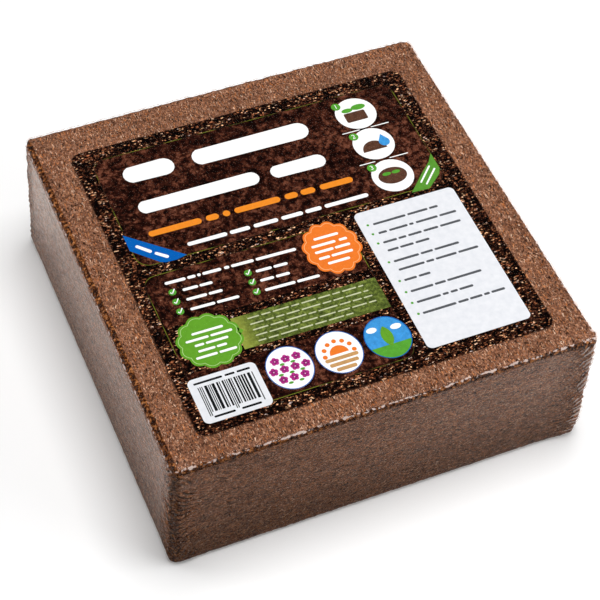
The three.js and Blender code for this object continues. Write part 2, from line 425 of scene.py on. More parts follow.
def make_paper():
    """White coated paper, faintly cockled."""
    paint = Finish("white paper")
    where = paint.place()
    cockle = paint.cloud(paint.sized(where, (1, 2.4, 1), (0, 0, 24)), 9, detail=2.0)
    mottle = paint.cloud(where, 4.5, detail=3.0)
    colour = paint.ramp(mottle, [(0.3, tint(223, 225, 230)), (0.7, tint(233, 234, 238))])
    return paint.shell({
        "Base Color": colour,
        "Roughness": 0.6,
        "Specular IOR Level": 0.08,
        "Normal": paint.bump(cockle, 0.3),
    })


def make_ink(name, colour, spread=0.10):
    """A printed ink that lies a little unevenly on its paper."""
    paint = Finish(name)
    where = paint.place()
    lay = paint.cloud(where, 2.6, detail=4.0, rough=0.65)
    lighter = tuple(min(channel * (1 + spread), 1) for channel in colour[:3]) + (1,)
    darker = tuple(channel * (1 - spread) for channel in colour[:3]) + (1,)
    return paint.shell({
        "Base Color": paint.ramp(lay, [(0.3, darker), (0.7, lighter)]),
        "Roughness": 0.6,
        "Specular IOR Level": 0.05,
        "Normal": paint.bump(lay, 0.01),
    })


def make_strip_ink():
    """A leafy green that turns to yellow green at the strip's left end."""
    paint = Finish("strip ink")
    where = paint.place()
    leafy = paint.cloud(paint.warp(where, 4, 1.5), 2.6, detail=4.0, rough=0.7)
    green = paint.ramp(leafy, [
        (0.36, tint(52, 62, 22)),
        (0.52, tint(88, 102, 40)),
        (0.68, tint(132, 146, 66)),
    ])
    along = paint.axes(where)["X"]
    colour = paint.mix(paint.step(along, -56, -72, 0.0, 0.6), green, tint(168, 178, 74))
    return paint.shell({"Base Color": colour, "Roughness": 0.6, "Specular IOR Level": 0.05})


def make_outline_ink():
    """A thin line that shows yellow green in some stretches and sinks into the ground in others."""
    paint = Finish("outline ink")
    shown = paint.cloud(paint.place(), 22, detail=2.0)
    colour = paint.ramp(shown, [(0.46, tint(34, 22, 12)), (0.60, tint(112, 124, 34))])
    return paint.shell({"Base Color": colour, "Roughness": 0.6, "Specular IOR Level": 0.05})


def make_clear_film():
    """Clear film: nothing but its gloss shows. It mirrors most where it is seen at a low angle."""
    paint = Finish("clear film")
    where = paint.place()
    spot = paint.axes(where)
    surface = paint.node("ShaderNodeNewGeometry").outputs
    outside = paint.math("SUBTRACT", 1.0, surface["Backfacing"])
    drawn = paint.attribute("drawn")

    # Long streaks and short ones, and a ripple where the film is drawn over the edges.
    streaks = paint.strands(where, 18, 5, (34, 34, 5.0), (4, -4, 0), detail=3.0)
    fine = paint.strands(where, 9, 2, (9, 9, 2.2), (6, -6, 0))
    ripple = paint.product(drawn, paint.cloud(where, 1.9))
    height = paint.total(paint.product(streaks, 1.6), paint.product(fine, 0.5))
    height = paint.total(height, paint.product(ripple, 1.4))
    normal = paint.bump(height, 0.22)
    facing = paint.node("ShaderNodeLayerWeight", {"Blend": 0.5, "Normal": normal}).outputs["Facing"]
    low_angle = paint.math("MINIMUM", paint.product(paint.math("POWER", facing, 4.6), 0.66), 0.32)

    # The haze is streaky, with small pits in it. It is thin where the film is drawn hard on the coir.
    # Painted shade makes it thinner towards the base and the left front corner, and a painted sheen makes it
    # thicker at the front's right end.
    hazy = paint.strands(where, 8, 3, (6, 6, 1.4), (8, -8, 0), detail=4.0, rough=0.7)
    pit = paint.step(paint.cells(paint.warp(where, 2.5, 1.2), 4.2), 0.17, 0.10, 1.0, 0.35)
    streaky = paint.product(paint.step(hazy, 0.36, 0.64, 0.66, 1.30), pit)
    haze_and_shade = paint.math("SUBTRACT", 1.0, paint.product(drawn, 0.72))
    haze_and_shade = paint.product(haze_and_shade, paint.step(spot["Z"], 0, 95, 0.52, 1.12))
    diagonal = paint.total(spot["X"], spot["Y"])
    haze_and_shade = paint.product(haze_and_shade, paint.step(diagonal, -300, 0, 0.94, 1.24))
    on_front = paint.step(paint.axes(surface["Normal"])["Y"], -0.5, -0.8)
    right_end_sheen = paint.product(on_front, paint.step(spot["X"], -80, 140, 0.0, 0.022))
    haze = paint.product(paint.total(low_angle, right_end_sheen), paint.product(streaky, haze_and_shade))
    broken = paint.step(paint.cloud(where, 1.5), 0.44, 0.58)
    doubled = paint.product(paint.product(drawn, broken), 0.03)
    share = paint.product(paint.total(haze, doubled), outside, clamp=True)

    # The small folds are milky, and a diffuse white veil on them paints highlights.
    folds = paint.strands(where, 5, 2, (4.2, 3.2, 2.0), (0, 0, 24), detail=3.0, rough=0.6)
    highlight_share = paint.step(paint.product(paint.attribute("milk_and_highlight"), folds), 0.50, 0.60, 0.0, 0.66)
    sheer = paint.node("ShaderNodeBsdfTransparent").outputs[0]
    highlight_veil = paint.node("ShaderNodeBsdfDiffuse", {"Color": tint(244, 220, 210)}).outputs[0]
    layers = {0: paint.product(highlight_share, outside), 1: sheer, 2: highlight_veil}
    clear = paint.node("ShaderNodeMixShader", layers).outputs[0]
    mirror = {"Color": tint(246, 236, 230), "Roughness": 0.12, "Normal": normal}
    gloss = paint.node("ShaderNodeBsdfGlossy", mirror).outputs[0]
    both = paint.node("ShaderNodeMixShader", {0: share, 1: clear, 2: gloss}).outputs[0]
    paint.node("ShaderNodeOutputMaterial", {"Surface": both})
    return paint.material


# Studio

def seen_ray(paint):
    """1 for the camera's own rays and for those that mirrors and glass pass on."""
    path = paint.node("ShaderNodeLightPath")
    seen = paint.math("MAXIMUM", path.outputs["Is Camera Ray"], path.outputs["Is Glossy Ray"])
    return paint.math("MAXIMUM", seen, path.outputs["Is Transmission Ray"])


def make_studio():
    """A pale floor, a white surround, a soft lamp overhead and two weak ones, low at left and right."""
    floor_size = 14
    floor_drop = 0.1 * MM
    bpy.ops.mesh.primitive_plane_add(size=floor_size, location=(0, 0, -floor_drop))
    floor = bpy.context.object
    floor.name = "floor"
    paint = Finish("pale floor")
    grey_for_light = (0.32, 0.32, 0.32, 1)
    white_for_view = (0.99, 0.99, 0.99, 1)
    floor_glow = 0.07
    shade = paint.mix(seen_ray(paint), grey_for_light, white_for_view)
    diffuse = paint.node("ShaderNodeBsdfDiffuse", {"Color": shade}).outputs[0]
    lift = paint.product(seen_ray(paint), floor_glow)
    glow = paint.node("ShaderNodeEmission", {"Strength": lift}).outputs[0]
    both = paint.node("ShaderNodeAddShader", {0: diffuse, 1: glow}).outputs[0]
    paint.node("ShaderNodeOutputMaterial", {"Surface": both})
    floor.data.materials.append(paint.material)

    world = bpy.data.worlds.new("surround")
    bpy.context.scene.world = world
    sky = Finish("sky")
    bpy.data.materials.remove(sky.material)
    world.use_nodes = True
    sky.tree = world.node_tree
    sky.tree.nodes.clear()
    light_level = 0.13
    strength = sky.total(light_level, sky.product(seen_ray(sky), 1 - light_level))
    surround = sky.node("ShaderNodeBackground", {"Strength": strength}).outputs[0]
    sky.node("ShaderNodeOutputWorld", {"Surface": surround})

    add_lamp((0.22, 0.04, 2.5), 1.4, 50, shines=True)
    add_lamp((-1.3, 0.9, 0.42), 0.9, 9, shines=False)
    add_lamp((1.05, -0.8, 0.64), 1.1, 10, shines=False)


def add_lamp(place, size, energy, shines):
    """A square soft lamp that faces the middle of the pack. One that shines is mirrored in the film."""
    bpy.ops.object.light_add(type="AREA", location=place)
    lamp = bpy.context.object
    lamp.data.energy = energy
    lamp.data.size = size
    lamp.visible_glossy = shines
    lamp.rotation_euler = (-Vector(place)).to_track_quat("-Z", "Y").to_euler()


def add_camera():
    """The photograph's own view, worked out from the block's edges in it."""
    azimuth = math.radians(-26.5513)
    elevation = math.radians(51.5986)
    roll = math.radians(4.7273)
    aim = Vector((-3.67, -13.25, 53.82)) * MM
    distance = 1.2915
    back = Vector((
        math.sin(azimuth) * math.cos(elevation),
        -math.cos(azimuth) * math.cos(elevation),
        math.sin(elevation),
    ))
    bpy.ops.object.camera_add(location=aim + distance * back)
    camera = bpy.context.object
    turn = (-back).to_track_quat("-Z", "Y") @ Quaternion((0, 0, 1), roll)
    camera.rotation_euler = turn.to_euler()
    camera.data.sensor_width = 36
    camera.data.lens = 111.684
    bpy.context.scene.camera = camera


# Modelling

def edit_mode(piece):
    bpy.ops.object.mode_set(mode="OBJECT")
    bpy.ops.object.select_all(action="DESELECT")
    piece.select_set(True)
    bpy.context.view_layer.objects.active = piece
    bpy.ops.object.mode_set(mode="EDIT")


def object_mode():
    bpy.ops.object.mode_set(mode="OBJECT")


def read_points(piece):
    points = np.zeros(len(piece.data.vertices) * 3)
    piece.data.vertices.foreach_get("co", points)
    return points.reshape(-1, 3)


def write_points(piece, points):
    piece.data.vertices.foreach_set("co", np.asarray(points, float).ravel())
    piece.data.update()


def smooth(value):
    """Eases a share from 0 to 1."""
    share = np.clip(value, 0, 1)
    return share * share * (3 - 2 * share)


def lumpiness(points, pitch, shift=0.0):
    """Soft noise from about -1 to 1 at each point, with lumps of the given pitch."""
    offset = Vector((shift, 2 * shift, -shift))
    return np.array([noise.noise(Vector(point) / pitch + offset) for point in points])


def pitting(points, pitch, shift=0.0):
    """The same noise from about 0 to 1."""
    return 0.5 + 0.5 * lumpiness(points, pitch, shift)


def set_attribute(piece, name, values):
    made = piece.data.attributes.new(name, "FLOAT", "POINT")
    made.data.foreach_set("value", np.asarray(values, np.float32))


def join(name, pieces):
    bpy.ops.object.select_all(action="DESELECT")
    for piece in pieces:
        piece.select_set(True)
    bpy.context.view_layer.objects.active = pieces[0]
    if len(pieces) > 1:
        bpy.ops.object.join()
    made = bpy.context.view_layer.objects.active
    made.name = name
    made.data.name = name
    return made


def settle(piece, material):
    """Gives a finished piece its material and fixes it to the pack."""
    piece.data.materials.clear()
    piece.data.materials.append(material)
    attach(piece, "root")
    return piece


# Print. Each layer of ink is a thin plate on the one below.
ink_depth = 0.05 * MM


def ink_level(layer, paper_top):
    return paper_top + layer * ink_depth


def thicken():
    """Gives the outline in edit mode the thickness of ink, and leaves edit mode."""
    bpy.ops.mesh.select_all(action="SELECT")
    bpy.ops.mesh.extrude_region_move(TRANSFORM_OT_translate={"value": (0, 0, ink_depth)})
    bpy.ops.mesh.select_all(action="SELECT")
    bpy.ops.mesh.normals_make_consistent(inside=False)
    object_mode()


def plate(name, outline, layer, paper_top=sheet_high.z, rim=None):
    """A thin plate with the given outline, in millimetres, or only a rim of the given width."""
    bpy.ops.mesh.primitive_circle_add(vertices=len(outline), fill_type="NGON")
    piece = bpy.context.object
    piece.name = name
    floor = ink_level(layer, paper_top)
    write_points(piece, [(x * MM, y * MM, floor) for x, y in outline])
    edit_mode(piece)
    if rim:
        bpy.ops.mesh.select_all(action="SELECT")
        bpy.ops.mesh.inset(thickness=rim * MM)
        bpy.ops.mesh.delete(type="FACE")
    thicken()
    return piece


def arc(centre, radii, start, stop, steps):
    """Points on an ellipse from one angle to another, in degrees."""
    angles = [math.radians(start + (stop - start) * step / steps) for step in range(steps + 1)]
    return [(centre[0] + radii[0] * math.cos(a), centre[1] + radii[1] * math.sin(a)) for a in angles]


def round_card(left, right, front, back, corner):
    """Outline of a card with round corners."""
    outline = []
    for index, (x, y) in enumerate(((right, back), (left, back), (left, front), (right, front))):
        inward = (-1 if x == right else 1, -1 if y == back else 1)
        centre = (x + inward[0] * corner, y + inward[1] * corner)
        outline += arc(centre, (corner, corner), 90 * index, 90 * index + 90, 6)
    return outline


def disc(centre, radius, tall=None, sides=32):
    """Outline of a disc, or of an ellipse that is as tall as the second radius."""
    return arc(centre, (radius, tall or radius), 0, 360 * (sides - 1) / sides, sides - 1)


def scallop(centre, radii, lobes, depth):
    """A seal's outline: an ellipse with small round lobes."""
    outline = []
    steps = lobes * 8
    for step in range(steps):
        angle = 2 * math.pi * step / steps
        wave = 1 + depth * (abs(math.sin(lobes * angle / 2)) - 0.6)
        outline.append((
            centre[0] + radii[0] * wave * math.cos(angle),
            centre[1] + radii[1] * wave * math.sin(angle),
        ))
    return outline


def make_bar_master():
    """One round-ended bar, 1 mm in radius, that every word bar is drawn out from."""
    bpy.ops.mesh.primitive_circle_add(vertices=16, radius=MM, fill_type="NGON")
    master = bpy.context.object
    master.name = "bar_master"
    edit_mode(master)
    thicken()
    return master


def bar(master, start, end, thick, layer, paper_top=sheet_high.z):
    """A copy of the master bar, from start to end, in millimetres."""
    piece = bpy.data.objects.new("bar", master.data.copy())
    bpy.context.scene.collection.objects.link(piece)
    first = Vector((*start, 0))
    last = Vector((*end, 0))
    run = last - first
    radius = thick / 2
    stretch = max(run.length / 2 - radius, 0)
    along = run.normalized()
    across = Vector((-along.y, along.x, 0))
    middle = (first + last) / 2
    points = []
    for vertex in master.data.vertices:
        x, y, z = vertex.co
        x = x / MM * radius + math.copysign(stretch, x)
        y = y / MM * radius
        flat = middle + along * x + across * y
        points.append((flat.x * MM, flat.y * MM, z + ink_level(layer, paper_top)))
    write_points(piece, points)
    return piece


def word_row(master, spans, height, thick, slope=0.0, layer=1, paper_top=sheet_high.z):
    """A row of word bars. Height is measured at the first word, and the row falls with slope."""
    left = spans[0][0]
    made = []
    for start, end in spans:
        first = (start, height + slope * (start - left))
        last = (end, height + slope * (end - left))
        made.append(bar(master, first, last, thick, layer, paper_top))
    return made


# Where the panels' print lies, as lengths of words in each row, in millimetres.
print_slope = -0.009
heading_rows = (
    (91.0, 15.5, ((-95, -58), (-44.5, 42.8))),
    (60.0, 12.0, ((-95, -7), (1.8, 42.8))),
)
caps_row = (19.0, 3.4, ((-75, -46.5), (-44.5, -30), (-27.3, -9.5), (-7, 8.8), (10.7, 22.5), (25, 57.5)))
orange_row = (36.2, 5.2, (
    (-96.3, -58.5), (-55.2, -46), (-42.7, -38), (-34.5, -1), (2.5, 12), (14.3, 25), (28.7, 53.3),
))
caption_rows = ((76, ((63.5, 77), (85.5, 99.5))), (44.3, ((62.8, 74.8), (85.8, 100))))
uses_row = (-7.4, 2.5, (
    (-101, -86.5), (-85.3, -79.5), (-78.3, -76), (-74.7, -61.5), (-59.5, -55.8), (-54.5, -38.5), (-37, -8.2),
))
tick_rows = (
    ((-98.7, -15.8), ((-91.8, -81), (-80, -71))),
    ((-99.1, -24.2), ((-92.3, -78), (-76.8, -67.2))),
    ((-99.5, -32.6), ((-92.7, -75.5), (-74.3, -58.8))),
    ((-46.2, -18.0), ((-40.8, -29.5), (-28.2, -18.2))),
    ((-46.4, -26.3), ((-41, -31.2), (-29.8, -20))),
    ((-46.7, -34.8), ((-41, -19.5), (-18.2, -2.2))),
)
orange_seal_rows = (
    (-6.8, ((6, 24),)),
    (-12.6, ((2, 19.5), (22, 28))),
    (-18.0, ((2.3, 15.8), (16.8, 28))),
    (-23.7, ((2.8, 10.8), (12, 27.5))),
    (-29.3, ((7, 23),)),
)
green_seal_rows = (
    (-53.0, ((-99.5, -77.8),)),
    (-57.7, ((-105.2, -89.5), (-88.2, -73.2))),
    (-62.4, ((-100.8, -94.3), (-93.2, -77.7))),
    (-67.3, ((-100.2, -88.5), (-87.5, -80.5))),
    (-72.2, ((-103.5, -88.8), (-87.5, -75.5))),
)
strip_rows = ((-53.5, 21.5), (-58.5, 23), (-63.3, 24), (-68.1, 24.5), (-72.7, 6))
info_rows = (
    (-8.3, ((49.5, 73.8), (75.3, 90.5), (91.8, 98.3))),
    (-16.8, ((49.7, 56), (57.7, 71.5), (72.8, 76), (77.8, 94.2), (95.7, 108.3))),
    (-25.5, ((49.3, 59.5), (60.7, 66.5), (68, 78), (79.5, 90.5), (92, 107.5))),
    (-33.0, ((49.2, 57.3), (58.5, 68.5), (70, 80.3))),
    (-43.0, ((49.2, 67.8), (69.2, 78.2), (79.5, 97.8))),
    (-50.8, ((49.2, 68.3), (69.7, 75.5), (76.8, 92.2), (93.7, 108.5))),
    (-60.2, ((49, 58.2), (59.7, 68.2))),
    (-70.3, ((49, 65.5), (66.8, 74.8), (76, 101.3))),
    (-80.0, ((49, 66.5), (68, 72.3), (73.8, 79), (80.3, 90.5))),
    (-89.7, ((48.8, 73.3), (74.8, 82.3), (83.5, 92.5), (93.8, 98), (99.3, 109.3))),
)
bullet_rows = (0, 1, 2, 4, 6, 7, 8, 9)


def lay_print(name, pieces, ink):
    """Joins plates or bars of one ink to one piece on the sheet."""
    settle(join(name, pieces), ink)


def make_panels(inks):
    upper = round_card(-112, 115, 10.4, 111.5, 10)
    lower = round_card(-114.5, 31.8, -119.5, 1.5, 9)
    lay_print("soil_panels", [plate("upper", upper, 0), plate("lower", lower, 0)], inks["soil"])
    lines = [plate("upper_line", upper, 1, rim=0.4), plate("lower_line", lower, 1, rim=0.4)]
    lay_print("panel_outlines", lines, inks["outline"])
    crumbs = round_card(-113.2, 30.6, -82, -42.5, 1.0)
    settle(plate("crumb_band", crumbs, 1), inks["crumb"])


def make_word_bars(master, inks):
    white = []
    for height, thick, spans in heading_rows:
        white += word_row(master, spans, height, thick, print_slope, 2)
    white += word_row(master, caps_row[2], caps_row[0], caps_row[1], print_slope, 2)
    white += word_row(master, uses_row[2], uses_row[0], uses_row[1], -0.027, 2)
    for (_, y), spans in tick_rows:
        white += word_row(master, spans, y - 0.6, 2.3, -0.03, 2)
    for height, spans in caption_rows:
        white += word_row(master, spans, height, 0.8, print_slope, 2)
    lay_print("white_word_bars", white, inks["white"])
    orange = word_row(master, orange_row[2], orange_row[0], orange_row[1], print_slope, 2)
    lay_print("orange_word_bars", orange, inks["amber"])


def make_ticks(master, inks):
    dots = [plate("dot", disc(place, 2.6), 2) for place, _ in tick_rows]
    lay_print("tick_dots", dots, inks["leaf"])
    strokes = []
    for (x, y), _ in tick_rows:
        strokes.append(bar(master, (x - 1.5, y + 0.2), (x - 0.3, y - 1.5), 0.8, 3))
        strokes.append(bar(master, (x - 0.6, y - 1.5), (x + 2.2, y + 2.4), 0.8, 3))
    lay_print("tick_marks", strokes, inks["white"])


def make_seals(master, inks):
    orange_centre = (15.2, -17.2)
    green_centre = (-90, -61.3)
    orange = scallop(orange_centre, (19.6, 22.4), 12, 0.10)
    green = scallop(green_centre, (21.4, 21.4), 12, 0.09)
    settle(plate("orange_seal", orange, 3), inks["orange"])
    pointer = plate("pointer", [(-70, -57.5), (-66.5, -61), (-70, -64.5)], 3)
    lay_print("green_seal", [plate("green", green, 3), pointer], inks["green"])
    inner_orange = scallop(orange_centre, (18.2, 21.0), 12, 0.10)
    inner_green = scallop(green_centre, (19.9, 19.9), 12, 0.09)
    settle(plate("orange_seal_line", inner_orange, 4, rim=0.45), inks["pale_orange"])
    settle(plate("green_seal_line", inner_green, 4, rim=0.45), inks["pale_green"])
    bars = []
    for height, spans in orange_seal_rows:
        bars += word_row(master, spans, height, 2.2, print_slope, 4)
    for height, spans in green_seal_rows:
        bars += word_row(master, spans, height, 1.9, print_slope, 4)
    lay_print("seal_word_bars", bars, inks["white"])


def make_strip(master, inks):
    strip = [(-71.5, -49.6), (-71.5, -76.0), (31.4, -77.2), (31.4, -50.8)]
    settle(plate("green_strip", strip, 2), inks["strip"])
    draw = random.Random(7)
    row_start = -60.8
    word_gap = 1.5
    words = []
    for height, end in strip_rows:
        start = row_start
        while start < end - 2 * word_gap:
            stop = min(start + draw.uniform(5, 15), end)
            level = height - 0.012 * (start - row_start)
            words += word_row(master, ((start, stop),), level, 1.05, 0, 3)
            start = stop + word_gap
    lay_print("strip_word_bars", words, inks["cream"])


def make_flashes(master, inks):
    left = [(-113, 41.5), (-113, 27), (-97, 11), (-93.5, 9.6), (-86, 9.3), (-78.5, 11)]
    right = [(114.8, 38), (110, 31), (100, 22), (93, 15), (86.8, 8.9), (100, 8.2), (112, 18), (114.8, 23)]
    settle(plate("left_flash", left, 2), inks["blue"])
    settle(plate("right_flash", right, 2), inks["moss"])
    lines = [
        bar(master, (-108.0, 29.8), (-99.6, 21.2), 2.6, 3),
        bar(master, (-98.0, 19.8), (-90.4, 13.2), 2.6, 3),
        bar(master, (96.5, 15), (109, 27.6), 1.3, 3),
        bar(master, (99.5, 12.2), (111.6, 24.2), 1.3, 3),
    ]
    lay_print("flash_word_bars", lines, inks["white"])


def make_steps(inks):
    """Three white step discs, each with a plain number and a small generic picture."""
    centres = ((80.8, 91.5), (80.8, 60.2), (81, 28.2))
    numbers = ((69.7, 102), (70, 70.8), (70, 39.3))
    step_radius = 15
    dot_radius = 3.4
    digit_size = 5.4 * MM
    discs = [plate("step", disc(centre, step_radius), 2) for centre in centres]
    lay_print("step_discs", discs, inks["white"])
    dots = [plate("dot", disc(centre, dot_radius), 4) for centre in numbers]
    lay_print("number_dots", dots, inks["leaf"])
    digits = []
    for index, (x, y) in enumerate(numbers):
        bpy.ops.object.text_add()
        digit = bpy.context.object
        digit.data.body = str(index + 1)
        digit.data.size = digit_size
        digit.data.align_x = "CENTER"
        digit.data.align_y = "CENTER"
        digit.data.extrude = ink_depth / 2
        digit.data.resolution_u = 3
        bpy.ops.object.convert(target="MESH")
        digit = bpy.context.object
        lift = ink_level(5, sheet_high.z) + ink_depth / 2
        digit.data.transform(Matrix.Translation((x * MM, y * MM, lift)))
        digits.append(digit)
    lay_print("step_numbers", digits, inks["white"])
    (x1, y1), (x2, y2), (x3, y3) = centres
    brown = [
        plate("block", round_card(x1 - 9, x1 + 7, y1 - 7, y1 + 2, 1.2), 3),
        plate("heap", arc((x2 - 1, y2 - 6), (9, 9), 0, 180, 14), 3),
        plate("bed", disc((x3, y3), 10.5, 7.5), 3),
    ]
    lay_print("step_picture_brown", brown, inks["umber"])
    leaves = [
        plate("sprig", disc((x1 + 4, y1 + 5.5), 5.5, 2.6), 4),
        plate("leaf", disc((x1 - 5, y1 + 4.5), 4.2, 2.0), 4),
        plate("shoot", disc((x3 - 3.5, y3 + 2.5), 3.2, 1.5), 4),
        plate("shoot", disc((x3 + 3.5, y3 + 2.5), 3.2, 1.5), 4),
    ]
    lay_print("step_picture_green", leaves, inks["leaf"])
    drop = [(x2 + 8, y2 + 7)] + arc((x2 + 8, y2 - 0.5), (4, 4), 40, -220, 14)
    settle(plate("step_picture_blue", drop, 4), inks["sky"])


def make_round_pictures(inks):
    """Three round pictures: generic blossoms, a striped sun and a leaf, in the photo's colours."""
    places = ((-50, -99.6), (-15.5, -99.4), (19, -99.5))
    radii = (15.7, 17.2)
    grounds = [plate("ground", disc(c, *radii, sides=48), 2) for c in places[:2]]
    lay_print("picture_grounds", grounds, inks["white"])
    sky = plate("picture_sky", disc(places[2], *radii, sides=48), 2)
    settle(sky, inks["sky"])
    rims = [plate("rim", disc(c, *radii, sides=48), 5, rim=0.5) for c in places]
    lay_print("picture_rims", rims, inks["blue"])

    # Blossoms in three rows, each of five petals round a pale eye.
    x, y = places[0]
    petals = []
    leaves = []
    for row, count in enumerate((3, 4, 3)):
        for index in range(count):
            centre = (x + (index - (count - 1) / 2) * 7.4, y + 7.6 - row * 7.6)
            for petal in range(5):
                angle = math.radians(72 * petal + 18)
                spot = (centre[0] + 1.75 * math.cos(angle), centre[1] + 1.75 * math.sin(angle))
                petals.append(plate("petal", disc(spot, 1.45, sides=12), 3))
            if index < count - 1:
                leaves.append(plate("leaf", disc((centre[0] + 3.7, centre[1] - 3.6), 1.7, 0.9), 3))
    lay_print("picture_blossoms", petals, inks["magenta"])

    # A half sun with short rays over tan stripes.
    x, y = places[1]
    sun = [plate("sun", arc((x, y - 1), (6.5, 6.5), 0, 180, 18), 3)]
    for ray in range(7):
        angle = math.radians(30 * ray)
        spot = (x + 10.2 * math.cos(angle), y - 1 + 10.2 * math.sin(angle))
        sun.append(plate("ray", disc(spot, 1.6), 3))
    lay_print("picture_sun", sun, inks["orange"])
    stripes = []
    for row in range(3):
        half = (11.5, 10.0, 7.0)[row]
        top = y - 3.0 - row * 4.2
        stripes.append(plate("stripe", round_card(x - half, x + half, top - 2.8, top, 1.2), 3))
    lay_print("picture_stripes", stripes, inks["tan"])

    # One broad leaf over a low field.
    x, y = places[2]
    field = arc((x, y), radii, 200, 340, 20)
    leaves.append(plate("field", field, 3))
    lay_print("picture_leaves", leaves, inks["leaf"])
    broad = arc((x + 7.1, y + 1), (11, 11), 130, 230, 10) + arc((x - 7.1, y + 1), (11, 11), -50, 50, 10)
    settle(plate("picture_broad_leaf", broad, 4), inks["green"])
    puffs = [
        plate("puff", disc((x - 8, y + 8.5), 3.6, 2.2), 3),
        plate("puff", disc((x + 8.5, y + 6.5), 3.8, 2.2), 3),
    ]
    lay_print("picture_puffs", puffs, inks["white"])


def make_info_print(master, inks):
    top = info_high.z
    words = []
    for height, spans in info_rows:
        words += word_row(master, spans, height, 1.9, 0, 0, top)
    settle(join("info_word_bars", words), inks["grey"])
    bullet_column = 45.8
    bullets = []
    for row in bullet_rows:
        spot = (bullet_column, info_rows[row][0] + 0.5)
        bullets.append(plate("bullet", disc(spot, 0.95, sides=12), 0, top))
    settle(join("info_bullets", bullets), inks["leaf"])


def make_code_print(master, inks):
    """Plain upright bars of several widths, and short bars over and under them."""
    top = code_high.z
    draw = random.Random(4)
    marks = []
    module = 0.62
    left = -111.0
    right = -73.7
    bar_top = -93.8
    bar_foot = -114.3
    long_bar_foot = -117.0
    x = left
    while x < right:
        width = module * draw.choice((1, 1, 2, 3))
        at_end = x < left + 3 * module or x > right - 3 * module
        long_bar = at_end or abs(2 * x - left - right) < 3 * module
        if long_bar:
            width = module
        foot = long_bar_foot if long_bar else bar_foot
        outline = [(x, bar_top), (x, foot), (x + width, foot), (x + width, bar_top)]
        marks.append(plate("mark", outline, 0, top))
        x += width + module * (1 if long_bar else draw.choice((1, 1, 2)))
    for spans, height, thick in (
        (((-112.5, -93), (-91.3, -84.5), (-83, -74)), -90.6, 1.6),
        (((-108.8, -94.5), (-90.2, -76.8)), -118.2, 1.6),
    ):
        marks += word_row(master, spans, height, thick, 0, 0, top)
    settle(join("code_marks", marks), inks["black"])


def make_print():
    inks = {
        "soil": make_soil_print(),
        "crumb": make_crumb_print(),
        "white": make_ink("white ink", tint(253, 253, 252), 0.01),
        "amber": make_ink("amber ink", tint(237, 139, 38), 0.06),
        "orange": make_ink("orange ink", tint(235, 121, 42), 0.06),
        "pale_orange": make_ink("pale orange ink", tint(255, 180, 120), 0.05),
        "green": make_ink("green ink", tint(96, 157, 41), 0.08),
        "pale_green": make_ink("pale green ink", tint(170, 208, 130), 0.05),
        "leaf": make_ink("leaf green ink", tint(84, 158, 50), 0.15),
        "moss": make_ink("moss ink", tint(86, 145, 48), 0.12),
        "outline": make_outline_ink(),
        "strip": make_strip_ink(),
        "cream": make_ink("cream ink", tint(198, 202, 164), 0.15),
        "blue": make_ink("blue ink", tint(0, 92, 176), 0.06),
        "sky": make_ink("sky ink", tint(62, 148, 214), 0.18),
        "umber": make_ink("umber ink", tint(84, 54, 40), 0.35),
        "magenta": make_ink("magenta ink", tint(186, 46, 140), 0.2),
        "tan": make_ink("tan ink", tint(196, 150, 96), 0.15),
        "grey": make_ink("grey ink", tint(84, 86, 90), 0.05),
        "black": make_ink("black ink", tint(16, 16, 18), 0.1),
    }
    master = make_bar_master()
    make_panels(inks)
    make_word_bars(master, inks)
    make_ticks(master, inks)
    make_seals(master, inks)
    make_strip(master, inks)
    make_flashes(master, inks)
    make_steps(inks)
    make_round_pictures(inks)
    make_info_print(master, inks)
    make_code_print(master, inks)
    bpy.data.objects.remove(master)
    nodes["printed_sheet"].material_slots[0].material = inks["crumb"]
    paper = make_paper()
    nodes["info_sticker"].material_slots[0].material = paper
    nodes["barcode_sticker"].material_slots[0].material = paper


# Block and film

def half_size(height, grow):
    """Half length and half width of the leaning sides at a height."""
    rise = (height - block_low.z) / (block_high.z - block_low.z)
    lean = side_lean * np.clip(rise, 0, 1)
    return block_half.x + grow - lean, block_half.y + grow - lean


def make_form(name, bottom, top, grow, cell):
    """The block's form: a cube with leaning sides and rounded edges, finely meshed at its edges."""
    low_x, low_y = half_size(bottom, grow)
    high_x, high_y = half_size(top, grow)
    bpy.ops.mesh.primitive_cube_add(size=1, location=(0, 0, 0))
    form = bpy.context.object
    form.name = name
    write_points(form, [
        (
            math.copysign(high_x if point[2] > 0 else low_x, point[0]),
            math.copysign(high_y if point[2] > 0 else low_y, point[1]),
            top if point[2] > 0 else bottom,
        )
        for point in read_points(form)
    ])
    round_edges(form, lambda a, b: abs(a.z - b.z) > top / 2, corner_round + grow)
    round_edges(form, lambda a, b: min(a.z, b.z) > top - MM / 10, top_round + grow)
    round_edges(form, lambda a, b: max(a.z, b.z) < bottom + MM / 10, base_round + grow)
    exact = form.copy()
    exact.data = form.data.copy()
    bpy.context.scene.collection.objects.link(exact)
    apply_modifier(form, "REMESH", mode="VOXEL", voxel_size=cell)
    refine_edges(form, bottom, top, grow)
    apply_modifier(form, "SHRINKWRAP", target=exact, wrap_method="NEAREST_SURFACEPOINT")
    bpy.data.objects.remove(exact)
    bpy.ops.object.shade_smooth()
    return form


def round_edges(form, chosen, radius):
    edit_mode(form)
    bpy.ops.mesh.select_mode(type="EDGE")
    bpy.ops.mesh.select_all(action="DESELECT")
    object_mode()
    for edge in form.data.edges:
        first, second = (form.data.vertices[index].co for index in edge.vertices)
        edge.select = chosen(first, second)
    edit_mode(form)
    bpy.ops.mesh.bevel(offset=radius, segments=8, affect="EDGES")
    object_mode()


def apply_modifier(piece, kind, **settings):
    bpy.ops.object.select_all(action="DESELECT")
    piece.select_set(True)
    bpy.context.view_layer.objects.active = piece
    modifier = piece.modifiers.new(kind.lower(), kind)
    for key, value in settings.items():
        setattr(modifier, key, value)
    bpy.ops.object.modifier_apply(modifier=modifier.name)


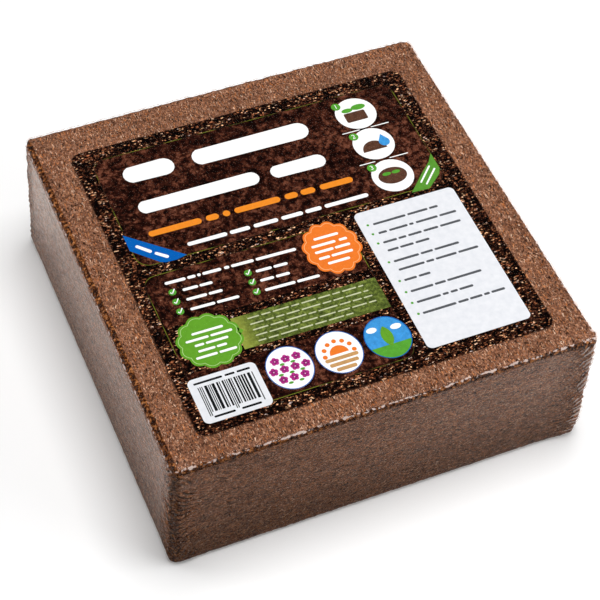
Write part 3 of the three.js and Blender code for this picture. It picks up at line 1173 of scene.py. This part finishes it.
def side_distances(points, grow):
    """Distance of each point from the nearer end, and from the nearer of front and back."""
    half_x, half_y = half_size(points[:, 2], grow)
    return half_x - np.abs(points[:, 0]), half_y - np.abs(points[:, 1])


def edge_distances(points, bottom, top, grow):
    """Distance of each point from the sides (the nearer and the farther) and from top and base."""
    from_x, from_y = side_distances(points, grow)
    near = np.minimum(from_x, from_y)
    far = np.maximum(from_x, from_y)
    return near, far, top - points[:, 2], points[:, 2] - bottom


def refine_edges(form, bottom, top, grow):
    """Cuts the faces along the top and upright edges finer."""
    side_skin = 2 * MM
    upright_band = 20 * MM
    top_band = 8 * MM
    base_band = 3 * MM
    centres = np.zeros(len(form.data.polygons) * 3)
    form.data.polygons.foreach_get("center", centres)
    near, far, below_top, above_base = edge_distances(centres.reshape(-1, 3), bottom, top, grow)
    by_upright = (near < side_skin) & (far < upright_band)
    by_top = (below_top < top_band) & (near < top_band)
    by_base = (above_base < base_band) & (near < base_band)
    chosen = by_upright | by_top | by_base
    edit_mode(form)
    bpy.ops.mesh.select_mode(type="FACE")
    bpy.ops.mesh.select_all(action="DESELECT")
    object_mode()
    form.data.polygons.foreach_set("select", chosen)
    edit_mode(form)
    bpy.ops.mesh.subdivide(number_cuts=2)
    object_mode()


def edge_share(near, far, below_top, above_base, reach):
    """1 on an edge of the form, 0 further than reach from one."""
    stack = np.sort(np.stack([near, far, below_top, above_base]), axis=0)
    return 1 - smooth(stack[1] / reach)


def normals_of(piece):
    normals = np.zeros(len(piece.data.vertices) * 3)
    piece.data.vertex_normals.foreach_get("vector", normals)
    return normals.reshape(-1, 3)


def hump(value, centre, reach):
    """1 at centre, 0 further than reach from it."""
    return 1 - smooth(np.abs(value - centre) / reach)


def by_side(points, front, right, back, left):
    """A value for each point, by the side of the pack that it is nearest to."""
    from_x, from_y = side_distances(points, 0)
    along_y = np.where(points[:, 1] < 0, front, back)
    along_x = np.where(points[:, 0] > 0, right, left)
    return np.where(from_y < from_x, along_y, along_x)


def on_upright(near, far, reach, skin=3 * MM):
    """1 on an upright edge, 0 further than reach from it, and on the sides alone."""
    return (1 - smooth(far / reach)) * (near < skin)


def in_top_corner(near, far, below_top, reach):
    """1 at the top face's corners, 0 further than reach from them."""
    return (1 - smooth((near + far) / reach)) * (below_top < MM)


def wet_share(points, near, far, below_top, above_base):
    """Where the film is drawn so hard over the coir that it looks wet: below the front's top edge, on
    top along the left one, and round the upright corners, least at the right."""
    middle = by_side(points, 2.0, 0.4, 0.4, -0.6) * MM
    width = by_side(points, 4.4, 4.4, 4.4, 5.0) * MM
    by_top = hump(below_top - near, middle, width) * by_side(points, 1.5, 0.45, 0.60, 1.3)
    at_corner = np.where(points[:, 0] > 0, 0.20, 0.46)
    upright = on_upright(near, far, 13 * MM, 2 * MM) * at_corner
    by_base = hump(above_base - near, 0.6 * MM, 2.6 * MM) * 0.8
    return np.maximum(np.maximum(by_top, upright), by_base)


def drawn_share(near, far, below_top):
    """Where the film lies doubled and glossy: on the top's rim and round the corners."""
    on_rim = hump(below_top - near, 0.8 * MM, 5.0 * MM)
    upright = on_upright(near, far, 20 * MM) * 0.8
    in_corner = in_top_corner(near, far, below_top, 34 * MM) * 0.6
    return np.maximum(np.maximum(on_rim, upright), in_corner)


def milk_and_highlight_share(points, near, far, below_top, ridge):
    """Where the film is milky with small folds and a white veil paints highlights on them: on the rim, most
    at the front, on the gathers, and on top at the front corners."""
    middle = by_side(points, -0.2, 0.2, 0.2, 2.4) * MM
    width = by_side(points, 5.6, 7.0, 7.0, 4.8) * MM
    on_rim = hump(below_top - near, middle, width) * by_side(points, 1.11, 1.24, 1.24, 1.06)
    at_corner = np.where(points[:, 0] > 0, 2.4 * (0.1 + 0.9 * smooth(far / (6 * MM))), 0.9)
    on_gathers = ridge ** 1.3 * on_upright(near, far, gather_reach) * at_corner
    in_corner = in_top_corner(near, far, below_top, 30 * MM) * (points[:, 1] < 0) * 0.9
    return np.maximum(np.maximum(on_rim, on_gathers), in_corner)


def swell(points, near, far, below_top, above_base):
    """How far block and film stand out along the right and back top edges and the right front corner."""
    by_top = hump(below_top - near, 1.5 * MM, 10 * MM) * by_side(points, 0.0, 1.7, 1.1, 0.3)
    right_half = smooth(points[:, 0] / (20 * MM))
    front_half = smooth(-points[:, 1] / (20 * MM))
    at_corner = right_half * front_half * smooth(1 - near / (6 * MM))
    upright = (1 - smooth(far / (30 * MM))) * at_corner * (1.0 + 0.9 * smooth(above_base / (40 * MM)))
    return (by_top ** 4 + upright ** 4) ** 0.25


def make_pressed_coir():
    bottom = block_low.z
    top = block_high.z
    block = make_form("pressed_coir", bottom, top, 0, coir_cell)
    points = read_points(block)
    near, far, below_top, above_base = edge_distances(points, bottom, top, 0)
    edge = edge_share(near, far, below_top, above_base, 4.5 * MM)
    pits = pitting(points, 4.2 * MM)
    broad = pitting(points, 13 * MM, 5)
    lumps = pitting(points, 2.9 * MM, 9)
    under_sheet = smooth(sheet_gap(points) / (3 * MM)) * (below_top < MM)
    depth = (0.30 * pits + 0.2 * broad) * (1 - under_sheet) + 1.5 * lumps * edge
    ridge, reach = gathers(points, near, far, below_top, above_base)
    depth -= gather_height * ridge * reach + swell(points, near, far, below_top, above_base)
    points -= normals_of(block) * (depth * MM)[:, None]
    points[:, 2] = np.maximum(points[:, 2], bottom)
    write_points(block, points)
    set_attribute(block, "wet", wet_share(points, near, far, below_top, above_base))
    # Painted shade for the creases between the gathers, a little lighter at the right.
    crease_shade_level = np.where(points[:, 0] > 0, 0.85, 1.0)
    set_attribute(block, "crease_shade", crease_shade_level * (1 - ridge) ** 1.5 * np.clip(1.4 * reach, 0, 1))
    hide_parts("coir_block")
    return settle(block, make_coir())


def sheet_gap(points):
    """How far inside the sheet's outline a point lies."""
    centre = (sheet_low + sheet_high) / 2
    half = (sheet_high - sheet_low) / 2
    from_x = half.x - np.abs(points[:, 0] - centre.x)
    from_y = half.y - np.abs(points[:, 1] - centre.y)
    return np.minimum(from_x, from_y)


def gathers(points, near, far, below_top, above_base):
    """Ridges round the upright corners, and how strong they are. They climb towards the corner above
    the weld and drop below it, and on the right they climb nearly all the way down."""
    pitch = 6.2 * MM
    at_right = points[:, 0] > 0
    level = by_side(points, 0, 1, 0.5, 0.4)
    turning = np.where(at_right, 12, 55.5) * MM
    tip = np.clip((points[:, 2] - turning) / (30 * MM), -1, 1) * np.where(at_right, 1.3, 1.2)
    wander = 3.4 * lumpiness(points, 12 * MM, 3) + 0.9 * lumpiness(points, 5 * MM, 13)
    height = points[:, 2] + tip * far + wander * MM + level * pitch / 2
    ridge = 0.5 + 0.5 * np.sin(2 * math.pi * height / pitch)
    uneven = np.clip(0.8 + 1.1 * lumpiness(points, 9 * MM, 7), 0, 1.3)
    on_side = smooth(1 - near / (2 * MM))
    fade = smooth(below_top / (6 * MM)) * smooth(above_base / (6 * MM))
    off_corner = 0.45 + 0.55 * smooth(far / (5 * MM))
    at_back_left = np.where((points[:, 0] < 0) & (points[:, 1] > 0), 0.45, 1.0)
    return ridge, uneven * on_side * fade * off_corner * at_back_left * (1 - smooth(far / gather_reach))


def make_film():
    bottom = film_low.z
    top = film_high.z
    film = make_form("clear_film", bottom, top, film_gap, film_cell)
    points = read_points(film)
    near, far, below_top, above_base = edge_distances(points, bottom, top, film_gap)
    edge = edge_share(near, far, below_top, above_base, 5.5 * MM)
    lumps = pitting(points, 2.9 * MM, 9)
    ridge, reach = gathers(points, near, far, below_top, above_base)
    bulge = 1.05 * swell(points, near, far, below_top, above_base)
    lift = gather_height * ridge * reach + bulge - 1.3 * lumps * edge * (below_top < 12 * MM)
    set_attribute(film, "drawn", drawn_share(near, far, below_top))
    strong_ridge = ridge * np.clip(1.6 * reach, 0, 1)
    # Painted highlights, with the milky folds.
    set_attribute(film, "milk_and_highlight", milk_and_highlight_share(points, near, far, below_top, strong_ridge))
    points += normals_of(film) * (lift * MM)[:, None]
    points[:, 2] = np.maximum(points[:, 2], bottom)
    write_points(film, points)
    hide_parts("shrink_film")
    return settle(film, make_clear_film())


def make_fibre_master():
    """One straight fibre, 1 mm long and 1 mm thick: three sides and five joints, thin at its ends."""
    bpy.ops.mesh.primitive_cylinder_add(vertices=3, radius=0.5, depth=1, end_fill_type="TRIFAN")
    master = bpy.context.object
    master.rotation_euler = (0, math.pi / 2, 0)
    bpy.ops.object.transform_apply(location=False, rotation=True, scale=False)
    edit_mode(master)
    for cut in (-0.25, 0, 0.25):
        bpy.ops.mesh.select_all(action="SELECT")
        bpy.ops.mesh.bisect(plane_co=(cut, 0, 0), plane_no=(1, 0, 0))
    object_mode()
    points = read_points(master)
    haze_and_shade = 1 - 0.7 * np.abs(2 * points[:, 0]) ** 2
    points[:, 1] *= haze_and_shade
    points[:, 2] *= haze_and_shade
    write_points(master, points)
    return master


def lay_fibre(shape, length, thick, curl, centre, along, across, out):
    """The fibre's points, bent on the face that it lies on."""
    bend = curl * (4 * shape[:, 0] ** 2 - 0.3)
    x = shape[:, 0] * length
    y = shape[:, 1] * thick + bend * length * 0.25
    z = shape[:, 2] * thick * 0.6
    return centre + x[:, None] * along + y[:, None] * across + z[:, None] * out


def make_fibres():
    """Loose fibres on the outside of the block, under the film."""
    draw = random.Random(12)
    master = make_fibre_master()
    shape = read_points(master)
    faces = [tuple(polygon.vertices) for polygon in master.data.polygons]
    top = block_high.z
    middle = (block_low.z + block_high.z) / 2
    half_x, half_y = half_size(np.array([middle]), 0)
    lean = side_lean / (block_high.z - block_low.z)
    sides = (
        (Vector((0, -1, lean)), Vector((1, 0, 0)), half_y[0], half_x[0], 1400, 32),
        (Vector((-1, 0, lean)), Vector((0, -1, 0)), half_x[0], half_y[0], 1000, 6),
        (Vector((1, 0, lean)), Vector((0, 1, 0)), half_x[0], half_y[0], 950, 20),
        (Vector((0, 1, lean)), Vector((-1, 0, 0)), half_y[0], half_x[0], 950, 20),
    )
    on_top = 2200
    side_margin = 9 * MM
    top_margin = 8 * MM
    base_margin = 7 * MM
    above = 0.02 * MM
    points = []
    tones = []

    def lay(centre, along, out, long_share):
        length = draw.uniform(1.6, 4.8) * MM * long_share
        thick = draw.uniform(0.17, 0.36) * MM
        across = out.cross(along)
        points.append(lay_fibre(
            shape, length, thick, draw.uniform(-1.7, 1.7),
            np.array(centre), np.array(along), np.array(across), np.array(out),
        ))
        tones.append(draw.random())

    for out, along, reach, half, count, tilts in sides:
        out = out.normalized()
        for _ in range(count):
            spot = along * draw.uniform(-half + side_margin, half - side_margin)
            z = draw.uniform(block_low.z + base_margin, top - top_margin)
            surface = reach - lean * (z - middle)
            centre = spot + Vector((out.x, out.y, 0)).normalized() * surface + Vector((0, 0, z))
            tilt = math.radians(draw.gauss(tilts, 22))
            up = out.cross(along)
            lay(centre + out * above, along * math.cos(tilt) + up * math.sin(tilt), out, 1.0)
    laid = 0
    while laid < on_top:
        spot = Vector((draw.uniform(-141, 141), draw.uniform(-141.5, 141.5), 0)) * MM
        if sheet_gap(np.array([spot]))[0] > -1.2 * MM:
            continue
        turn = draw.uniform(0, math.tau)
        centre = spot + Vector((0, 0, top + above))
        lay(centre, Vector((math.cos(turn), math.sin(turn), 0)), Vector((0, 0, 1)), 0.8)
        laid += 1

    count = len(shape)
    mesh = bpy.data.meshes.new("coir_fibres")
    mesh.from_pydata(
        np.concatenate(points).tolist(),
        [],
        [tuple(index + count * copy for index in face) for copy in range(len(points)) for face in faces],
    )
    fibres = bpy.data.objects.new("coir_fibres", mesh)
    bpy.context.scene.collection.objects.link(fibres)
    set_attribute(fibres, "tone", np.repeat(tones, count))
    bpy.data.objects.remove(master)
    return settle(fibres, make_fibre_finish())


def make_vent_rims():
    """The small beads round the four vents in the film's base."""
    from_middle = 75 * MM
    vent_radius = 2.6 * MM
    bead = 0.13 * MM
    lift = 0.14 * MM
    rims = []
    for x in (-from_middle, from_middle):
        for y in (-from_middle, from_middle):
            bpy.ops.mesh.primitive_torus_add(
                location=(0, 0, 0), major_radius=vent_radius, minor_radius=bead,
                major_segments=24, minor_segments=6,
            )
            rim = bpy.context.object
            rim.data.transform(Matrix.Translation((x, y, film_low.z + lift)))
            rims.append(rim)
    return settle(join("vent_rims", rims), make_ink("vent rim", tint(176, 160, 148), 0.1))


add_camera()
make_studio()
make_print()
make_vent_rims()
make_fibres()
make_pressed_coir()
make_film()

scene = bpy.context.scene
scene.view_settings.view_transform = "Standard"
